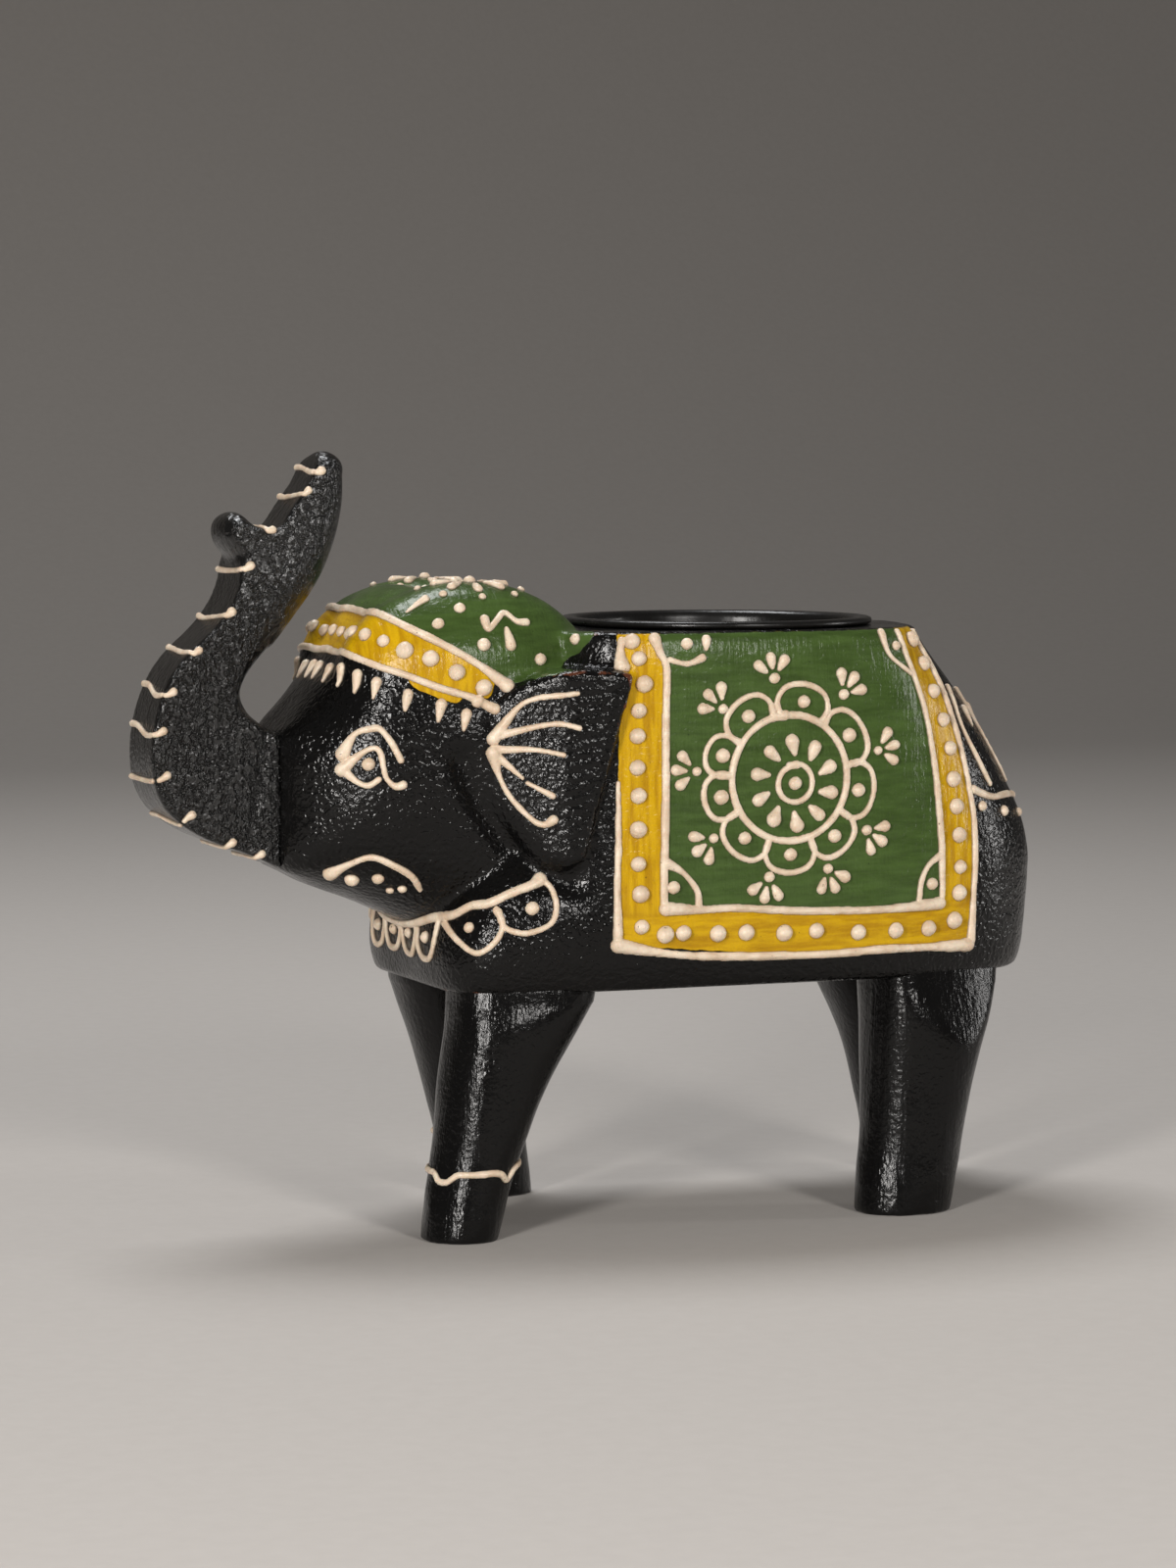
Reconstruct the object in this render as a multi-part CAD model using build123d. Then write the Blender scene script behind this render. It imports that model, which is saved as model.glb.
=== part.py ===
from build123d import *
import os
from math import copysign, cos, pi, sin

os.makedirs("parts", exist_ok=True)

# A painted wooden elephant that carries a tealight in a steel cup let into its back.
# Millimetres. The origin is on the floor under the middle of the figure, the trunk
# points to -X, the figure's left side is -Y and +Z is up.

# Driving dimensions of the whole figure
TRUNK_FRONT_X = -68.2
RUMP_X = 68.2
HEIGHT = 112.0
BELLY_Z = 35.0
BACK_Z = 86.3
BACK_FRONT_X = -4.6
HALF_WIDTH = 26.0
# reach of the simple blocks that cut the solids, well clear of the figure
CUTTER = 100.0

# The trunk is a flat board glued to the front of the head
SEAM_X = -49.5
TRUNK_HALF_THICKNESS = 6.4
TRUNK_TIP_HALF_THICKNESS = 4.6
TRUNK_DOWEL_Z = (58.5, 67.0)
TRUNK_DOWEL_RADIUS = 1.5
TRUNK_DOWEL_LENGTH = 13.0
TRUNK_TAPER_Z = 90.0
# the board's side view, as (x, z), from the top of the seam round to its underside
TRUNK_REAR = [
    (SEAM_X, 72.3), (-53.2, 74.9), (-54.2, 77.4), (-51.4, 82.0), (-46.4, 88.0),
    (-41.6, 95.0), (-39.0, 102.5), (-38.6, 108.6),
]
TRUNK_TIP = [(-38.6, 108.6), (-39.6, 111.4), (-41.8, HEIGHT), (-44.2, 108.6), (-47.2, 104.0), (-48.9, 101.4)]
TRUNK_NOTCH = [(-48.9, 101.4), (-51.0, 101.0), (-53.0, 102.2)]
TRUNK_FINGER = [(-53.0, 102.2), (-54.6, 103.4), (-56.6, 102.2), (-56.8, 99.4), (-55.2, 97.2)]
TRUNK_FRONT = [
    (-55.2, 97.2), (-55.4, 92.4), (-58.4, 87.6), (-63.8, 82.4), (-67.0, 76.4),
    (TRUNK_FRONT_X, 69.0), (-66.9, 62.6), (-63.0, 58.6), (-56.5, 55.6), (SEAM_X, 52.6),
]

# The crown is two domes side by side, and the ears are raised leaves behind the cheeks
DOME_CENTRE = (-22.6, 9.2, 80.2)
DOME_RADII = (18.9, 11.0, 13.2)
EAR_INNER_Y = 12.0
EAR_REAR_Y = 27.6
EAR_REAR_X = -2.0
EAR_BEND = (-12.5, 25.8)
EAR_ROOT = (-26.0, 18.6)
# the ear's side view, as (x, z): its lower tip, its straight rear edge and its rounded top
EAR_TIP = [(-23.0, 63.5), (-16.5, 54.0), (-13.2, 53.0), (-10.6, 54.4)]
EAR_EDGE = [(-10.6, 54.4), (-7.4, 65.5), (-5.2, 73.0), (-3.3, 80.6)]
EAR_TOP = [(-3.3, 80.6), (-9.0, 81.2), (-15.0, 80.6), (-20.5, 77.6), (-24.6, 70.0), (-23.0, 63.5)]

# The tealight cup, pressed from thin steel
CUP_INNER_RADIUS = 20.25
CUP_WALL = 0.6
CUP_DEPTH = 14.0
FLANGE_RADIUS = 23.2
FLANGE_THICKNESS = 1.1
CUP_X = 20.2
SEAT_GAP = 0.1
RECESS_CLEARANCE = 0.35
RECESS_FLOOR_GAP = 0.5

# Each leg stands under the belly on its own dowel
LEG_DOWEL_RADIUS = 3.0
LEG_DOWEL_LENGTH = 20.0
GLUE_GAP = 0.05
DOWEL_END_GAP = 0.5

LEG_FLARE = 14.0
LEG_FLARE_WIDTH = 9.0
LEG_TOP_Y = 15.2
LEG_TOP_HALF_WIDTH = 9.2
KNEE_Z = 22.0
KNEE_Y = 16.4
KNEE_HALF_WIDTH = 7.6
FOOT_Y = 18.6
FOOT_HALF_WIDTH = 6.0
# name: side (-1 is the left), then x and half length at the belly, the knee and the foot
LEGS = {
    "front_left_leg": (-1, (-15.8, 10.8), (-20.8, 7.9), (-27.0, 5.5)),
    "front_right_leg": (1, (-15.4, 10.4), (-13.2, 8.0), (-9.0, 6.6)),
    "rear_left_leg": (-1, (48.6, 10.6), (46.2, 8.7), (42.6, 7.3)),
    "rear_right_leg": (1, (52.0, 10.0), (55.8, 7.4), (59.6, 5.8)),
}
LEG_POWER = 3.4

# Torso: height, chest x, rump x, half width, and how square its front and rear are
TORSO_WAIST_X = 15.0
TORSO = [
    (BELLY_Z, -28.0, 65.6, 23.6, 7.0, 3.2),
    (38.5, -28.8, 67.0, 25.0, 6.6, 3.0),
    (44.0, -28.6, 67.9, 25.9, 5.6, 2.8),
    (51.0, -25.5, RUMP_X, HALF_WIDTH, 4.4, 2.8),
    (58.0, -20.5, 66.7, HALF_WIDTH, 4.0, 2.8),
    (66.0, -16.5, 62.6, HALF_WIDTH, 4.0, 2.8),
    (76.0, -13.5, 55.8, 25.8, 4.0, 2.9),
    (BACK_Z, -12.0, 48.2, 24.9, 4.0, 3.0),
]

# Head: x, underside z, top z, half width, squareness
HEAD = [
    (SEAM_X, 52.6, 72.3, TRUNK_HALF_THICKNESS, 7.0),
    (-47.2, 51.4, 74.4, 11.4, 4.2),
    (-43.8, 49.8, 78.4, 14.4, 2.8),
    (-39.6, 48.2, 84.6, 17.0, 2.6),
    (-34.5, 46.0, 91.0, 18.8, 2.6),
    (-27.0, 43.0, 92.2, 20.0, 2.6),
    (-17.0, 40.0, 89.4, 21.0, 2.6),
    (-7.0, 40.0, 83.4, 21.4, 2.6),
    (4.0, 42.0, 82.0, 21.4, 2.6),
]

RING_POINTS = 28


def ring(across, up, power):
    """Points round a squared oval; across and up give its reach each way along two axes."""
    points = []
    for step in range(RING_POINTS):
        turn = 2 * pi * step / RING_POINTS
        c, s = cos(turn), sin(turn)
        n = power[0] if c < 0 else power[1]
        u = copysign(abs(c) ** (2 / n), c) * (across[1] if c > 0 else across[0])
        v = copysign(abs(s) ** (2 / n), s) * (up[1] if s > 0 else up[0])
        points.append((u, v))
    return points


def torso_section(z, chest_x, rump_x, half_width, front_power, rear_power):
    reach = (TORSO_WAIST_X - chest_x, rump_x - TORSO_WAIST_X)
    outline = ring(reach, (half_width, half_width), (front_power, rear_power))
    points = [(TORSO_WAIST_X + u, v, z) for u, v in outline]
    return make_face(Spline(points, periodic=True))


def head_section(x, low_z, top_z, half_width, power):
    middle = (low_z + top_z) / 2
    reach = (top_z - low_z) / 2
    outline = ring((half_width, half_width), (reach, reach), (power, power))
    points = [(x, u, middle + v) for u, v in outline]
    return make_face(Spline(points, periodic=True))


def leg_section(x, y, z, half_length, half_width):
    outline = ring((half_length, half_length), (half_width, half_width), (LEG_POWER, LEG_POWER))
    points = [(x + u, y + v, z) for u, v in outline]
    return make_face(Spline(points, periodic=True))


def dome(side):
    rx, ry, rz = DOME_RADII
    x, y, z = DOME_CENTRE
    return Pos(x, side * y, z) * scale(Sphere(1.0), by=(rx, ry, rz))


def ear(side):
    """A leaf with a crisp rear edge, rising from the cheek in two flat facets."""
    outline = Plane.XZ * make_face(Polyline(EAR_TIP) + Polyline(EAR_EDGE) + Spline(EAR_TOP))
    slab = extrude(outline, amount=CUTTER, both=True)
    root_x, root_y = EAR_ROOT
    bend_x, bend_y = EAR_BEND
    plan = Polyline(
        (root_x, side * EAR_INNER_Y), (root_x, side * root_y), (bend_x, side * bend_y),
        (EAR_REAR_X, side * EAR_REAR_Y), (EAR_REAR_X, side * EAR_INNER_Y), close=True,
    )
    wedge = extrude(make_face(plan), amount=CUTTER)
    return slab & wedge


def make_dowel(radius, length, axis_point, axis):
    return Plane(origin=axis_point, z_dir=axis) * Cylinder(radius, length)


def leg_dowel(name, extra_radius=0.0, extra_length=0.0):
    side, (top_x, _), _, _ = LEGS[name]
    return make_dowel(
        LEG_DOWEL_RADIUS + extra_radius, LEG_DOWEL_LENGTH + extra_length,
        (top_x, side * LEG_TOP_Y, BELLY_Z), (0, 0, 1),
    )


def trunk_dowel(z, extra_radius=0.0, extra_length=0.0):
    return make_dowel(
        TRUNK_DOWEL_RADIUS + extra_radius, TRUNK_DOWEL_LENGTH + extra_length,
        (SEAM_X, 0, z), (1, 0, 0),
    )


def dowel_holes():
    gaps = (GLUE_GAP, 2 * DOWEL_END_GAP)
    return [leg_dowel(name, *gaps) for name in LEGS] + [trunk_dowel(z, *gaps) for z in TRUNK_DOWEL_Z]


def body_block():
    block = loft([torso_section(*row) for row in TORSO])
    head = loft([head_section(*row) for row in HEAD])
    block = block + head
    for side in (-1, 1):
        block = block + dome(side)
        block = block + ear(side)
    # the sawn flat back, level from behind the crown to the rump
    block = block - Pos(BACK_FRONT_X + CUTTER / 2, 0, BACK_Z + CUTTER / 2) * Box(CUTTER, CUTTER, CUTTER)
    # the round recess for the cup, open at the back
    recess_floor = BACK_Z + SEAT_GAP + FLANGE_THICKNESS - CUP_DEPTH - CUP_WALL - RECESS_FLOOR_GAP
    recess_radius = CUP_INNER_RADIUS + CUP_WALL + RECESS_CLEARANCE
    block = block - Pos(CUP_X, 0, recess_floor + CUTTER / 2) * Cylinder(recess_radius, CUTTER)
    for hole in dowel_holes():
        block = block - hole
    return block


def trunk_outline():
    """Side view of the trunk, from the top of the seam round the tip and the finger to its underside."""
    curves = [Spline(points) for points in (TRUNK_REAR, TRUNK_TIP, TRUNK_NOTCH, TRUNK_FINGER, TRUNK_FRONT)]
    seam = Line(TRUNK_FRONT[-1], TRUNK_REAR[0])
    return make_face(curves + [seam])


def trunk():
    board = extrude(Plane.XZ * trunk_outline(), amount=TRUNK_HALF_THICKNESS, both=True)
    # both sides lean in towards the tip
    taper = Polyline(
        (-TRUNK_HALF_THICKNESS, 0), (TRUNK_HALF_THICKNESS, 0), (TRUNK_HALF_THICKNESS, TRUNK_TAPER_Z),
        (TRUNK_TIP_HALF_THICKNESS, HEIGHT), (-TRUNK_TIP_HALF_THICKNESS, HEIGHT),
        (-TRUNK_HALF_THICKNESS, TRUNK_TAPER_Z), close=True,
    )
    board = board & extrude(Plane.YZ * make_face(taper), amount=CUTTER, both=True)
    for z in TRUNK_DOWEL_Z:
        board = board - trunk_dowel(z, GLUE_GAP, 2 * DOWEL_END_GAP)
    return board


def leg_flare():
    """The belly's edge carried down to the floor, spreading on the way."""
    z, chest_x, rump_x, half_width, *powers = TORSO[0]
    low = torso_section(0, chest_x - LEG_FLARE, rump_x + LEG_FLARE, half_width + LEG_FLARE_WIDTH, *powers)
    return loft([low, torso_section(z, chest_x, rump_x, half_width, *powers)])


def leg(name):
    """A tapering post under the belly, its top trimmed flush with the belly's edge."""
    side, (top_x, top_half), (knee_x, knee_half), (foot_x, foot_half) = LEGS[name]
    top = leg_section(top_x, side * LEG_TOP_Y, BELLY_Z, top_half, LEG_TOP_HALF_WIDTH)
    knee = leg_section(knee_x, side * KNEE_Y, KNEE_Z, knee_half, KNEE_HALF_WIDTH)
    foot = leg_section(foot_x, side * FOOT_Y, 0, foot_half, FOOT_HALF_WIDTH)
    post = loft([foot, knee, top]) & leg_flare()
    return post - leg_dowel(name, GLUE_GAP, 2 * DOWEL_END_GAP)


def tealight_cup():
    top_z = BACK_Z + SEAT_GAP + FLANGE_THICKNESS
    outer_radius = CUP_INNER_RADIUS + CUP_WALL
    height = CUP_DEPTH + CUP_WALL
    cup = Pos(CUP_X, 0, top_z - height / 2) * Cylinder(outer_radius, height)
    cup = cup + Pos(CUP_X, 0, top_z - FLANGE_THICKNESS / 2) * Cylinder(FLANGE_RADIUS, FLANGE_THICKNESS)
    return cup - Pos(CUP_X, 0, top_z - CUP_DEPTH / 2) * Cylinder(CUP_INNER_RADIUS, CUP_DEPTH)


nodes = {"body_block": body_block(), "trunk": trunk(), "tealight_cup": tealight_cup()}
for leg_name in LEGS:
    nodes[leg_name] = leg(leg_name)
    nodes[leg_name + "_dowel"] = leg_dowel(leg_name)
for z, place in zip(TRUNK_DOWEL_Z, ("lower", "upper")):
    nodes[f"trunk_dowel_{place}"] = trunk_dowel(z)

for node, solid in nodes.items():
    export_step(solid, f"parts/{node}.step")
    size = solid.bounding_box().size
    print(f"{node}: {size.X:.1f} x {size.Y:.1f} x {size.Z:.1f} mm, {solid.volume / 1000:.2f} cm3")
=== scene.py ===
# %% [markdown]
# **A carved wooden elephant, lacquered black and decorated by hand.** The CAD model already has
# every block, dowel and cup at its true size. This lesson builds only the looks round that frame:
# the carver's tool marks, the brushed paint and the raised cream paste. Lengths here are written in
# millimetres, because that is how a carver thinks, and each mesh is turned to metres as it is stored.

# %% The frame
import bmesh
import bpy
import math
import random
import numpy as np
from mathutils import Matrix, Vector, noise
from mathutils.bvhtree import BVHTree


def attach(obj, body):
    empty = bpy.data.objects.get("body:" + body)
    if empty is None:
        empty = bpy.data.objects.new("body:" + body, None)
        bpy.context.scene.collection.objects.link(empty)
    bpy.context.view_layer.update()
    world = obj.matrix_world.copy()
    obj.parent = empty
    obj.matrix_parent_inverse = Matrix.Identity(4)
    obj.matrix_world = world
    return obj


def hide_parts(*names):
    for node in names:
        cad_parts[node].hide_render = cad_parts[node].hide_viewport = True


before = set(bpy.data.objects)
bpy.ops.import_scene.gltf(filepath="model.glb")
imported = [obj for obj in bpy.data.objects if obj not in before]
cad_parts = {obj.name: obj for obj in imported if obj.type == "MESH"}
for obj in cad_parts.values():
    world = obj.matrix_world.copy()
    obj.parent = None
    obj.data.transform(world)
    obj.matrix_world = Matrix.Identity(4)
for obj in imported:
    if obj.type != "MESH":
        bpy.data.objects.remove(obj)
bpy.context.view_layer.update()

MM = 0.001
LEGS = ("front_left_leg", "front_right_leg", "rear_left_leg", "rear_right_leg")
print("CAD nodes:", ", ".join(sorted(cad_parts)))

# %% [markdown]
# **Camera, floor and light.** A small figure looks its true size when it is seen from a little above
# and far away with a long lens, so the camera stands 0.7 m off with a 109 mm lens. The floor is a
# sheet of pale card that curves up behind, a photographer's sweep: with no horizon line, the black
# figure keeps a clean outline. A plane and a wall would do, but their corner would show in the gloss.

# %% Camera
CAMERA_PLACE = (-250.9, -653.5, 116.2)
CAMERA_TURN, CAMERA_PITCH = math.radians(-21), math.radians(4.35)

lens = bpy.data.cameras.new("camera")
lens.lens = 109.4
lens.sensor_width = 36
lens.clip_start, lens.clip_end = 0.05, 20
camera = bpy.data.objects.new("camera", lens)
bpy.context.scene.collection.objects.link(camera)
camera.location = Vector(CAMERA_PLACE) * MM
looking = Vector((-math.sin(CAMERA_TURN) * math.cos(CAMERA_PITCH),
                  math.cos(CAMERA_TURN) * math.cos(CAMERA_PITCH), -math.sin(CAMERA_PITCH)))
camera.rotation_euler = looking.to_track_quat("-Z", "Y").to_euler()
bpy.context.scene.camera = camera
print("camera stands", round(camera.location.length, 3), "m from the figure's foot")

# %% Floor sweep
SWEEP_HALF_WIDTH, SWEEP_FRONT, SWEEP_BACK, SWEEP_RADIUS, SWEEP_HEIGHT = 2400, -1800, 900, 700, 1900


def new_object(name, mesh):
    piece = bpy.data.objects.new(name, mesh)
    bpy.context.scene.collection.objects.link(piece)
    return piece


def sweep_profile():
    """Points of the card from its front edge, round the bend and up."""
    bend = [math.radians(a) for a in range(0, 91, 6)]
    curve = [(SWEEP_BACK + SWEEP_RADIUS * math.sin(a), SWEEP_RADIUS * (1 - math.cos(a))) for a in bend]
    return [(SWEEP_FRONT, 0)] + curve + [(SWEEP_BACK + SWEEP_RADIUS, SWEEP_HEIGHT)]


def floor_sweep():
    profile = sweep_profile()
    corners = [(x * MM, y * MM, z * MM) for y, z in profile for x in (-SWEEP_HALF_WIDTH, SWEEP_HALF_WIDTH)]
    faces = [(2 * i, 2 * i + 1, 2 * i + 3, 2 * i + 2) for i in range(len(profile) - 1)]
    mesh = bpy.data.meshes.new("floor")
    mesh.from_pydata(corners, [], faces)
    mesh.shade_smooth()
    return new_object("floor", mesh)


floor = floor_sweep()
print("floor sweep:", len(floor.data.polygons), "faces")

# %% Lights
def softbox(name, place, target, size, watts, colour):
    """A rectangular soft light at place, turned towards target."""
    light = bpy.data.lights.new(name, "AREA")
    light.shape = "RECTANGLE"
    light.size, light.size_y = size[0] * MM, size[1] * MM
    light.energy = watts
    light.color = colour
    lamp = bpy.data.objects.new(name, light)
    bpy.context.scene.collection.objects.link(lamp)
    lamp.location = Vector(place) * MM
    lamp.rotation_euler = (Vector(target) - Vector(place)).to_track_quat("-Z", "Y").to_euler()
    return lamp


softbox("left softbox", (-580, -600, 240), (-20, 0, 60), (110, 340), 5.0, (1.0, 0.97, 0.94))
softbox("front softbox", (110, -790, 370), (0, 0, 60), (130, 240), 2.6, (1.0, 0.97, 0.94))
softbox("right strip", (700, -160, 120), (20, 0, 50), (60, 300), 1.0, (1.0, 0.98, 0.96))
softbox("top softbox", (-60, 300, 800), (0, 0, 60), (400, 300), 4.0, (0.97, 0.98, 1.0))
world = bpy.data.worlds.new("studio air")
world.use_nodes = True
world.node_tree.nodes["Background"].inputs["Color"].default_value = (0.92, 0.90, 0.88, 1)
world.node_tree.nodes["Background"].inputs["Strength"].default_value = 0.10
bpy.context.scene.world = world
bpy.context.scene.view_settings.view_transform = "Standard"

# %% [markdown]
# **Carving blanks.** The CAD solids are exact, but their faces are long thin triangles that can't be
# dented. A carver starts from a blank, and so does this script: it copies a node, joins its corners
# and lets a voxel remesh cover it with small even squares. Subdividing would keep the thin triangles,
# so the remesh is the better blank, and relaxing it takes off the tiny voxel steps and softens every
# arris as thick lacquer does.

# %% Blanks
def points_of(mesh):
    flat = np.empty(len(mesh.vertices) * 3)
    mesh.vertices.foreach_get("co", flat)
    return flat.reshape(-1, 3) / MM


def set_points(mesh, points):
    mesh.vertices.foreach_set("co", (points * MM).ravel())
    mesh.update()


def normals_of(mesh):
    flat = np.empty(len(mesh.vertices) * 3)
    mesh.vertex_normals.foreach_get("vector", flat)
    return flat.reshape(-1, 3)


def edges_of(mesh):
    flat = np.empty(len(mesh.edges) * 2, int)
    mesh.edges.foreach_get("vertices", flat)
    return flat.reshape(-1, 2)


def neighbour_mean(values, edges):
    """The mean of each point's neighbours along the edges."""
    ends = np.concatenate([edges[:, 0], edges[:, 1]])
    others = np.concatenate([edges[:, 1], edges[:, 0]])
    count = np.maximum(np.bincount(ends, minlength=len(values)), 1)
    columns = [np.bincount(ends, values[others, k], len(values)) / count for k in range(values.shape[1])]
    return np.stack(columns, 1)


BELLY_Z = 35.0


def away_from_belly(points, reach):
    """0 at the level where the legs meet the block, rising to 1 at reach mm above or below it."""
    return np.clip(np.abs(points[:, 2:] - BELLY_Z) / reach, 0, 1)


def relax(mesh, rounds, share=1.0):
    """Evens the mesh out, less so near the belly joint and wherever share is below 1."""
    points, edges = points_of(mesh), edges_of(mesh)
    pull = share * (0.15 + 0.35 * away_from_belly(points, 3.0))
    for _ in range(rounds):
        points += pull * (neighbour_mean(points, edges) - points)
    set_points(mesh, points)


def carving_blank(name, node, voxel, rounds):
    """A closed, evenly meshed copy of a CAD node. The node's own mesh stays as it is."""
    bm = bmesh.new()
    bm.from_mesh(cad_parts[node].data)
    bmesh.ops.remove_doubles(bm, verts=bm.verts, dist=1e-6)
    mesh = bpy.data.meshes.new(name)
    bm.to_mesh(mesh)
    bm.free()
    piece = new_object(name, mesh)
    even = piece.modifiers.new("even squares", "REMESH")
    even.mode = "VOXEL"
    even.voxel_size = voxel * MM
    evaluated = piece.evaluated_get(bpy.context.evaluated_depsgraph_get())
    piece.data = bpy.data.meshes.new_from_object(evaluated)
    piece.modifiers.clear()
    piece.data.materials.clear()
    piece.data.shade_smooth()
    relax(piece.data, rounds)
    print(name, "blank:", len(piece.data.polygons), "squares")
    return piece


body = carving_blank("elephant_body", "body_block", 0.66, 3)
trunk = carving_blank("elephant_trunk", "trunk", 0.36, 2)
legs = {name: carving_blank("elephant_" + name, name, 0.42, 4) for name in LEGS}

# %% [markdown]
# **Tool marks.** A knife leaves broad, shallow facets about 8 mm across and a finer unevenness on top
# of them. They are hard to see on matt wood but they break up every reflection in gloss lacquer. A
# bump in the material could fake them, but the outline would stay too perfect, so the points move.

# %% Tool marks
def ripple(points, size, seed):
    """Smooth noise from -1 to 1 at each point, with bumps about size mm across."""
    shift = Vector((seed * 17.3, seed * 5.1, seed * 9.7))
    return np.array([noise.noise(Vector(p) / size + shift) for p in points])


def facets(mesh, depth, seed):
    """Dents the surface with broad knife marks and a fine unevenness."""
    points, normals = points_of(mesh), normals_of(mesh)
    push = depth * ripple(points, 9.0, seed) + 0.35 * depth * ripple(points, 3.4, seed + 1)
    set_points(mesh, points + normals * push[:, None] * away_from_belly(points, 5.0))


def path_distance(x, z, path):
    """Distance in the side view from each point to a path of (x, z) corners."""
    best = np.full(len(x), 1e9)
    for (ax, az), (bx, bz) in zip(path, path[1:]):
        length = (bx - ax) ** 2 + (bz - az) ** 2
        along = np.clip(((x - ax) * (bx - ax) + (z - az) * (bz - az)) / length, 0, 1)
        best = np.minimum(best, np.hypot(x - ax - along * (bx - ax), z - az - along * (bz - az)))
    return best


facets(body.data, 0.22, 1)
for number, leg in enumerate(legs.values()):
    facets(leg.data, 0.28, 3 + number)
print("tool marks cut in", 1 + len(legs), "pieces")

# %% [markdown]
# **Rounder legs.** The CAD legs are squared posts. On the figure their corners have been pared away,
# so that a long streak of light runs down each one. The same square-to-disc idea that a turner uses
# does it: at every height a point is placed as a share of the leg's half length and half width, and
# the more it lies towards a corner, the more it moves in. The faces' middles stay where they are.

# %% Paring the legs
PARED_TOP, PARED_FOOT, SMOOTHING_ROUNDS = 0.25, 0.75, 40
SLABS = 36


def pare_leg(mesh):
    """Pares the corners slab by slab, each slab 1 mm high, then smooths all but the foot."""
    points = points_of(mesh)
    levels = np.arange(0, float(SLABS))
    slab = np.clip(points[:, 2].astype(int), 0, SLABS - 1)
    shares, middles, halves = [], [], []
    for k in (0, 1):
        low = np.array([points[slab == i, k].min() for i in range(SLABS)])
        high = np.array([points[slab == i, k].max() for i in range(SLABS)])
        middles.append(np.interp(points[:, 2], levels + 0.5, (low + high) / 2))
        halves.append(np.interp(points[:, 2], levels + 0.5, (high - low) / 2))
        shares.append(np.clip((points[:, k] - middles[k]) / halves[k], -1, 1))
    pared = PARED_TOP + (PARED_FOOT - PARED_TOP) * np.clip((33 - points[:, 2]) / 24, 0, 1)
    for k in (0, 1):
        corner = np.sqrt(1 - pared * shares[1 - k] ** 2 / 2)
        points[:, k] = middles[k] + shares[k] * halves[k] * corner
    set_points(mesh, points)
    relax(mesh, SMOOTHING_ROUNDS, np.clip((points[:, 2:] - 10) / 8, 0, 1))


for leg in legs.values():
    pare_leg(leg.data)
print("corners pared on", len(legs), "legs")

# %% [markdown]
# **The cheek hollow.** Behind each cheek a gouge has run from under the eye line down to the ear's
# lower tip, so that the ear stands proud like a leaf. In the side view it follows one short path, so
# the simplest cut is a soft channel: each point goes in by an amount that fades with its distance
# from that path.

# %% Cheek hollow
HOLLOW_PATH = [(-26.5, 68.0), (-24.0, 62.5), (-20.5, 57.5), (-16.5, 52.5), (-12.0, 51.0)]
HOLLOW_DEPTH, HOLLOW_HALF_WIDTH = 1.3, 2.0


def cut_cheeks(mesh):
    points = points_of(mesh)
    away = path_distance(points[:, 0], points[:, 2], HOLLOW_PATH)
    cut = HOLLOW_DEPTH * np.exp(-(away / HOLLOW_HALF_WIDTH) ** 2) * (np.abs(points[:, 1]) > 12)
    points[:, 1] -= np.sign(points[:, 1]) * cut
    set_points(mesh, points)


cut_cheeks(body.data)
print("cheek hollow:", HOLLOW_DEPTH, "mm deep")

# %% [markdown]
# **The trunk's section.** The trunk is sawn from a flat board, so its front and sides are flat, but its
# rear is whittled round and its little finger is a knob. Mapping a square onto a disc does this neatly:
# u runs from the flat part to the rear edge, v runs across the board, and the two corners of the square
# slide onto the arc without any point being lost. A bevel would need a clean edge, which the blank
# doesn't have.

# %% Trunk section
TRUNK_REAR = [(-49.5, 72.3), (-53.2, 74.9), (-54.2, 77.4), (-51.4, 82.0), (-46.4, 88.0), (-41.6, 95.0),
              (-39.0, 102.5), (-38.6, 108.6), (-39.6, 111.4), (-41.8, 112.0)]
FINGER_FRONT = [(-52.6, 102.6), (-54.6, 103.4), (-56.6, 102.2), (-56.8, 99.4), (-55.4, 97.4)]
GLUE_GROOVE = [(-51.2, 73.5), (-52.4, 65.0), (-53.8, 57.0), (-54.6, 54.5)]


def half_thickness(z):
    return np.interp(z, [90, 112], [6.4, 4.6])


def smooth_path(corners, steps=12):
    """Closely spaced points on a smooth curve through the corners."""
    ends = np.array([corners[0]] + corners + [corners[-1]])
    t = np.linspace(0, 1, steps, endpoint=False)[:, None]
    parts = [b + 0.5 * t * (c - a + t * (2 * a - 5 * b + 4 * c - d + t * (3 * b - a - 3 * c + d)))
             for a, b, c, d in zip(ends, ends[1:], ends[2:], ends[3:])]
    return np.concatenate(parts + [ends[-1:]])


def round_off(points, corners, reach):
    """Rolls the board's edge along a path into an arc that starts reach mm inside it."""
    path = smooth_path(corners)
    tangent = np.gradient(path, axis=0)
    tangent /= np.linalg.norm(tangent, axis=1, keepdims=True)
    inside = np.stack([-tangent[:, 1], tangent[:, 0]], 1)
    flat = points[:, [0, 2]]
    near = ((flat[:, None] - path[None]) ** 2).sum(2).argmin(1)
    offset = flat - path[near]
    away = (offset * inside[near]).sum(1)
    beyond = np.abs((offset * tangent[near]).sum(1))
    u = np.clip(1 - away / reach, 0, 1) * np.clip(1.4 - beyond / 1.5, 0, 1)
    v = np.clip(points[:, 1] / half_thickness(points[:, 2]), -1, 1)
    inward = reach * u * (1 - np.sqrt(1 - v * v / 2))
    moved = points.copy()
    moved[:, [0, 2]] += inside[near] * inward[:, None]
    moved[:, 1] *= np.sqrt(1 - u * u / 2)
    return moved


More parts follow.
